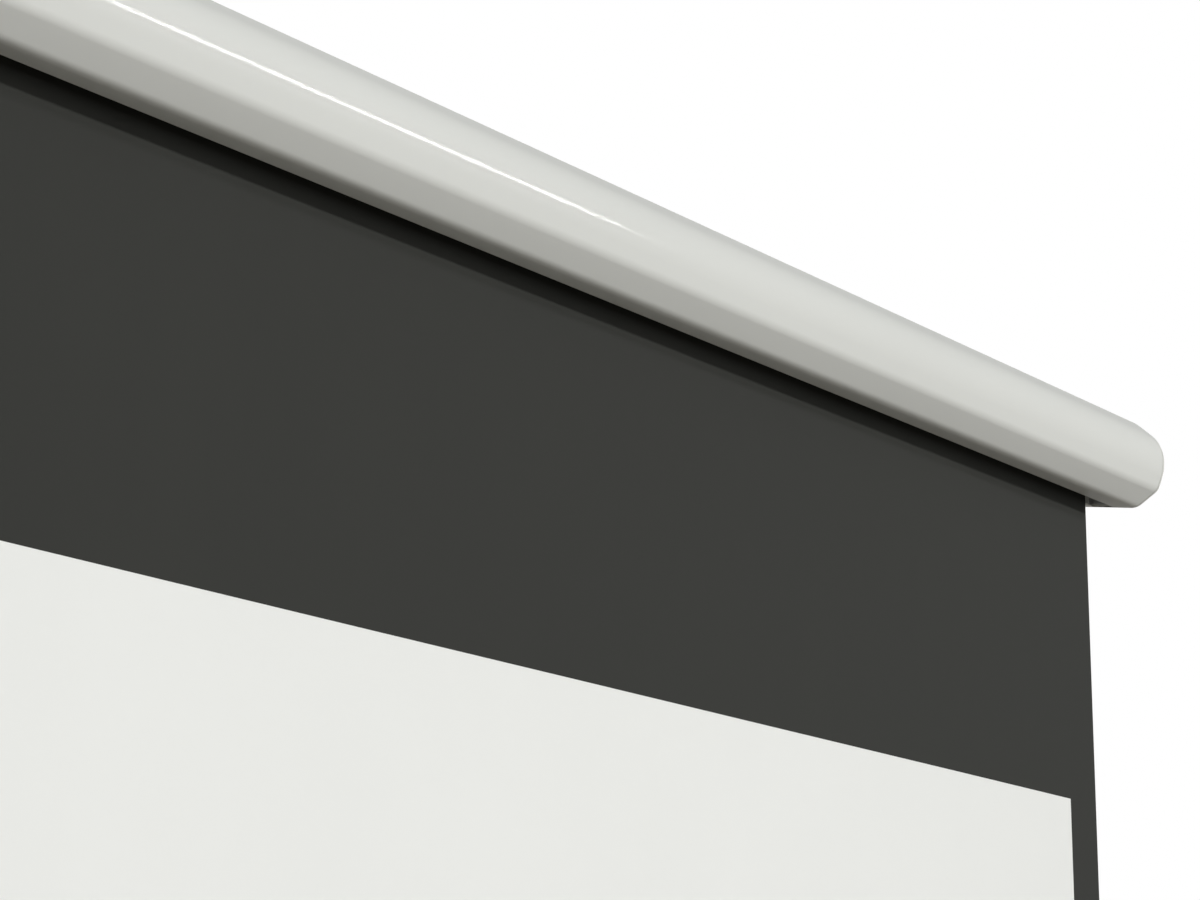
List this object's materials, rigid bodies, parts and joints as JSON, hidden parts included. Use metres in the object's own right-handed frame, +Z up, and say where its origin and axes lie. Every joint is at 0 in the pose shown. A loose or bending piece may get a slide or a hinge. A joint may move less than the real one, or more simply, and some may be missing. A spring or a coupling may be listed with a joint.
{
  "type": "motorized projector screen",
  "caption": "Motorized projector screen shown lowered: long rounded case, tubular motor roller, black-bordered white fabric and weight bar.",
  "frame": {"origin": "middle of the picture across, in the wall plane, at the brackets' top faces where a ceiling would be", "axes": "+X along the case to the right for someone facing the picture, +Y into the wall, +Z up"},
  "size_m": [2.4224, 0.0868, 1.6748],
  "materials": {
    "case_paint": "glossy off-white powder coat on aluminium",
    "cap_plastic": "off-white moulded plastic",
    "zinc_steel": "zinc plated steel",
    "dark_steel": "blackened steel",
    "raw_aluminium": "plain extruded aluminium",
    "grey_plastic": "dark grey moulded plastic",
    "black_plastic": "black moulded plastic",
    "adjuster_plastic": "yellow moulded plastic",
    "brass": "plain sintered bronze",
    "copper_winding": "varnished copper winding on a steel core",
    "circuit_board": "green solder mask",
    "relay_blue": "blue moulded plastic",
    "rubber": "black rubber",
    "dark_lens": "dark infrared window",
    "black_fabric": "matt black coated screen fabric",
    "white_screen": "matt white projection surface"
  },
  "bodies": {
    "case": {"case_extrusion": "case_paint", "left_end_cap": "cap_plastic", "right_end_cap": "cap_plastic", "left_end_plate": "zinc_steel", "right_end_plate": "zinc_steel", "left_cap_screw_1": "zinc_steel", "left_cap_screw_2": "zinc_steel", "left_cap_screw_3": "zinc_steel", "right_cap_screw_1": "zinc_steel", "right_cap_screw_2": "zinc_steel", "right_cap_screw_3": "zinc_steel", "motor_bracket": "zinc_steel", "motor_head": "black_plastic", "motor_retaining_clip": "dark_steel", "motor_casing": "zinc_steel", "limit_switch_unit": "grey_plastic", "motor_capacitor": "raw_aluminium", "motor_brake": "dark_steel", "motor_stator": "copper_winding", "motor_rotor": "dark_steel", "gearbox": "dark_steel", "idler_pin": "zinc_steel", "control_board": "circuit_board", "up_relay": "relay_blue", "down_relay": "relay_blue", "transformer": "dark_steel", "terminal_block": "grey_plastic", "control_socket": "black_plastic", "receiver_window": "dark_lens", "cable_gland": "rubber", "motor_lead": "rubber", "screen_fabric": "black_fabric", "viewing_surface": "white_screen"},
    "weight_bar": {"weight_bar": "case_paint", "weight_rod": "dark_steel", "hem_spline": "cap_plastic", "left_bar_cap": "cap_plastic", "right_bar_cap": "cap_plastic"},
    "roller": {"roller_tube": "raw_aluminium", "roller_spline": "cap_plastic", "fabric_wrap": "black_fabric", "output_shaft": "zinc_steel", "drive_wheel": "black_plastic", "drive_wheel_clip": "dark_steel", "motor_crown": "grey_plastic", "idler_plug": "grey_plastic", "idler_bush": "brass"},
    "up_limit_screw": {"up_limit_screw": "adjuster_plastic"},
    "down_limit_screw": {"down_limit_screw": "adjuster_plastic"},
    "push_button": {"push_button": "grey_plastic"},
    "left_bracket": {"left_bracket": "case_paint", "left_clamp_nut": "zinc_steel", "left_clamp_screw": "zinc_steel"},
    "right_bracket": {"right_bracket": "case_paint", "right_clamp_nut": "zinc_steel", "right_clamp_screw": "zinc_steel"}
  },
  "joints": [
    {"name": "screen_drop", "type": "slide", "parent": "case", "child": "weight_bar", "axis": [0, 0, 1], "range_m": [0, 1.563], "deforming": ["screen_fabric", "viewing_surface"]},
    {"name": "roller_spin", "type": "hinge", "parent": "case", "child": "roller", "pos_m": [0, -0.0465, -0.0408], "axis": [1, 0, 0], "range_deg": [0, 3172]},
    {"name": "left_bracket_slide", "type": "slide", "parent": "case", "child": "left_bracket", "axis": [1, 0, 0], "range_m": [-0.25, 0.85]},
    {"name": "right_bracket_slide", "type": "slide", "parent": "case", "child": "right_bracket", "axis": [1, 0, 0], "range_m": [-0.85, 0.25]},
    {"name": "up_limit_turn", "type": "hinge", "parent": "case", "child": "up_limit_screw", "pos_m": [-1.1819, -0.03202, -0.07], "axis": [0, 0, 1], "continuous": true},
    {"name": "down_limit_turn", "type": "hinge", "parent": "case", "child": "down_limit_screw", "pos_m": [-1.1709, -0.03202, -0.07], "axis": [0, 0, 1], "continuous": true},
    {"name": "button_press", "type": "slide", "parent": "case", "child": "push_button", "axis": [1, 0, 0], "range_m": [0, 0.0008], "stiffness_N_per_m": 1500}
  ],
  "couplings": [
    {"joint": "roller_spin", "follows": "screen_drop", "rad_per_m": 35.409}
  ]
}
